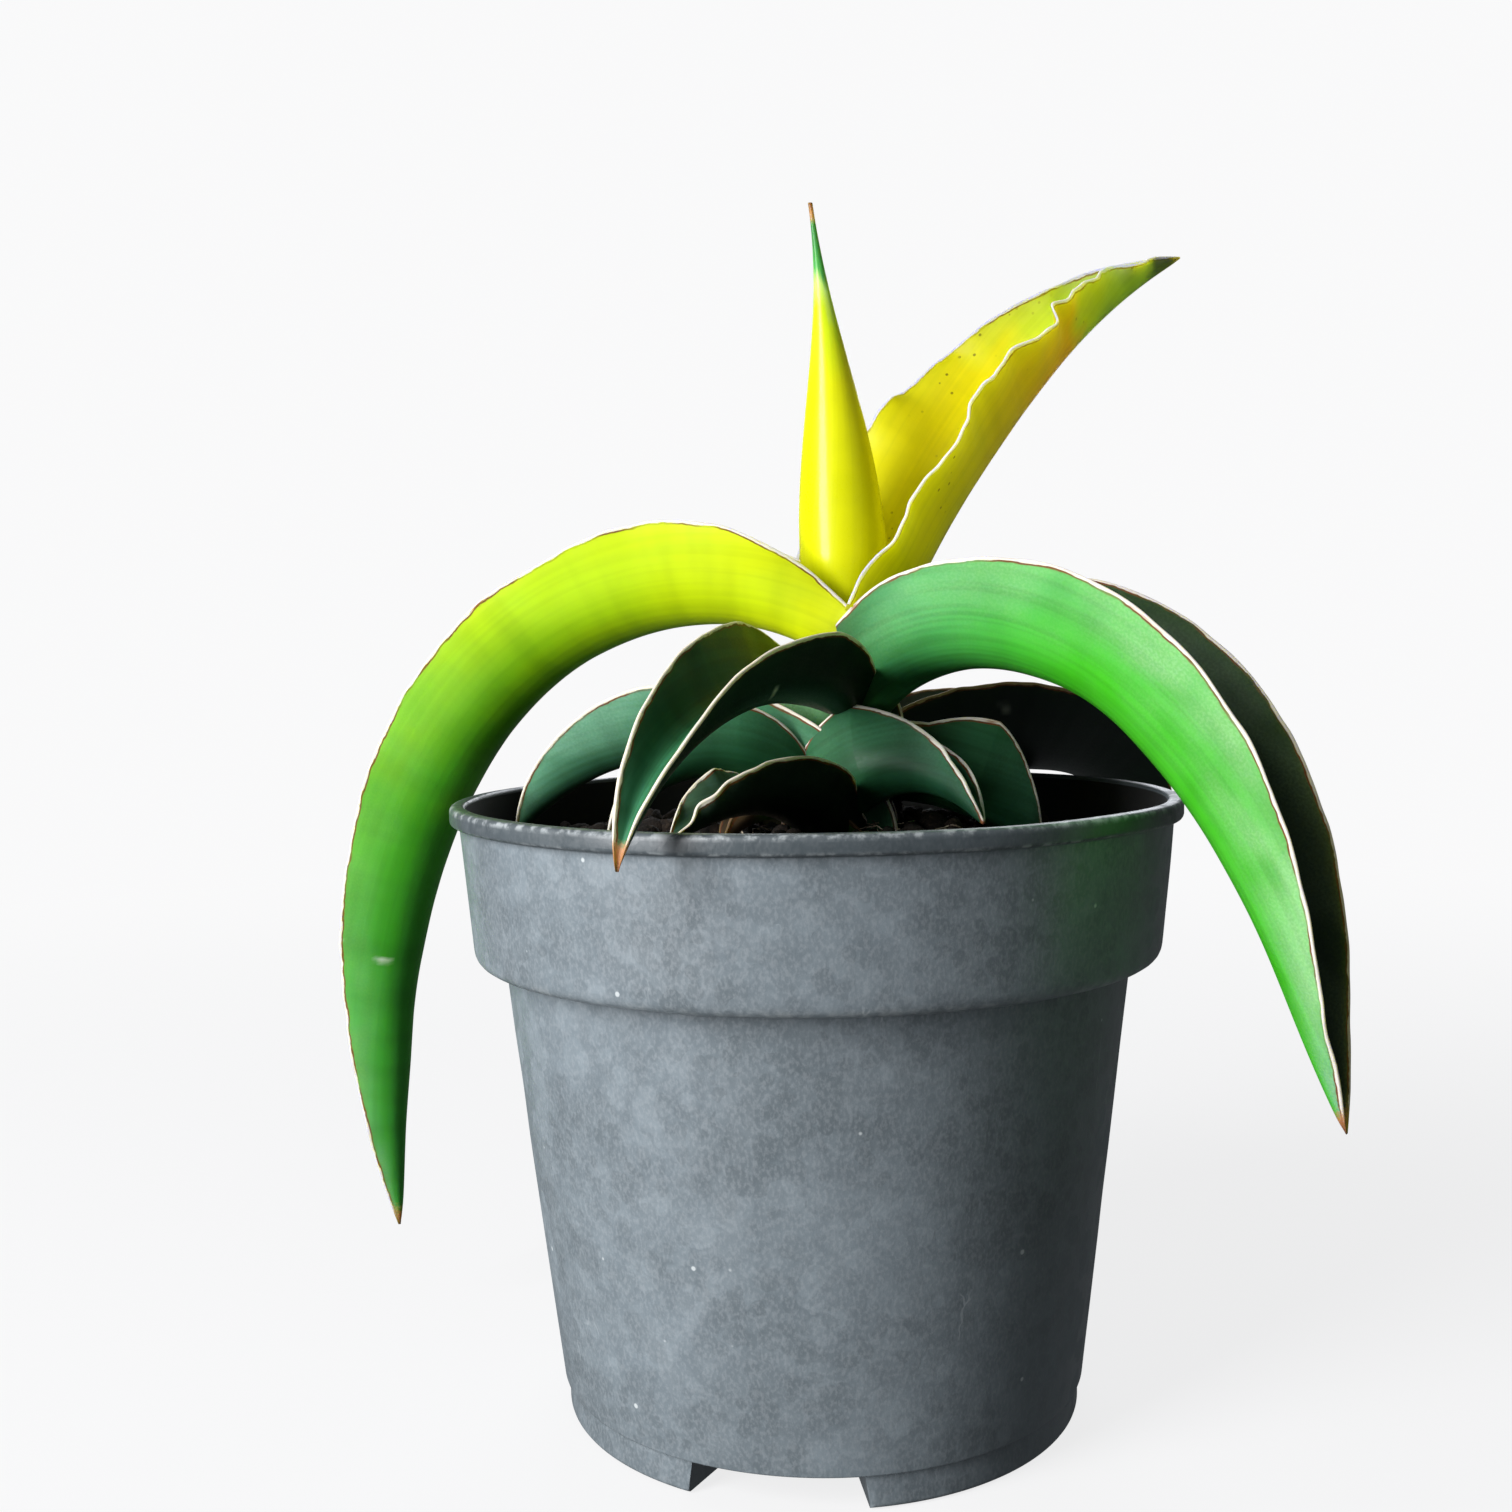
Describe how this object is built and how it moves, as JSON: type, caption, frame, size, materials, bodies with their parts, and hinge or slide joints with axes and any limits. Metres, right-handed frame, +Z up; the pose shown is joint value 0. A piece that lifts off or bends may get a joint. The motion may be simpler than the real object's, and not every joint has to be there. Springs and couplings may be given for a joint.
{
  "type": "potted snake plant",
  "caption": "Young stemmed snake plant with channelled arching leaves and a rolled spear, in a round nursery pot with a stepped collar.",
  "frame": {"origin": "the middle of the pot's flat underside", "axes": "+Z up the pot's axis; -Y faces the viewer; the pot's underside faces -Z"},
  "size_m": [0.166, 0.1442, 0.1983],
  "materials": {
    "pot_plastic": "moulded grey polypropylene, water-stained",
    "soil": "dark damp peat with fine roots",
    "stem": "pale green stem, tan rhizome and roots",
    "young_leaf": "smooth yellow young leaf",
    "yellow_green_leaf": "satin yellow-green leaf with pale margins",
    "green_leaf": "green leaf with a powdery bloom and pale margins",
    "blue_green_leaf": "blue-green leaf with pale margins",
    "dark_leaf": "dark green leaf with pale margins",
    "old_leaf": "withered leaf base, papery and brown at its end"
  },
  "bodies": {
    "root": {"nursery_pot": "pot_plastic", "potting_soil": "soil", "stem_rhizome_and_roots": "stem", "spear_leaf": "young_leaf", "upper_right_leaf": "young_leaf", "long_left_leaf": "yellow_green_leaf", "long_right_leaf": "green_leaf", "front_left_leaf": "dark_leaf", "back_right_leaf": "dark_leaf", "back_left_leaf": "blue_green_leaf", "front_right_leaf": "blue_green_leaf", "right_short_leaf": "blue_green_leaf", "front_low_leaf": "dark_leaf", "left_low_leaf": "blue_green_leaf", "old_leaf_base": "old_leaf"}
  },
  "joints": []
}
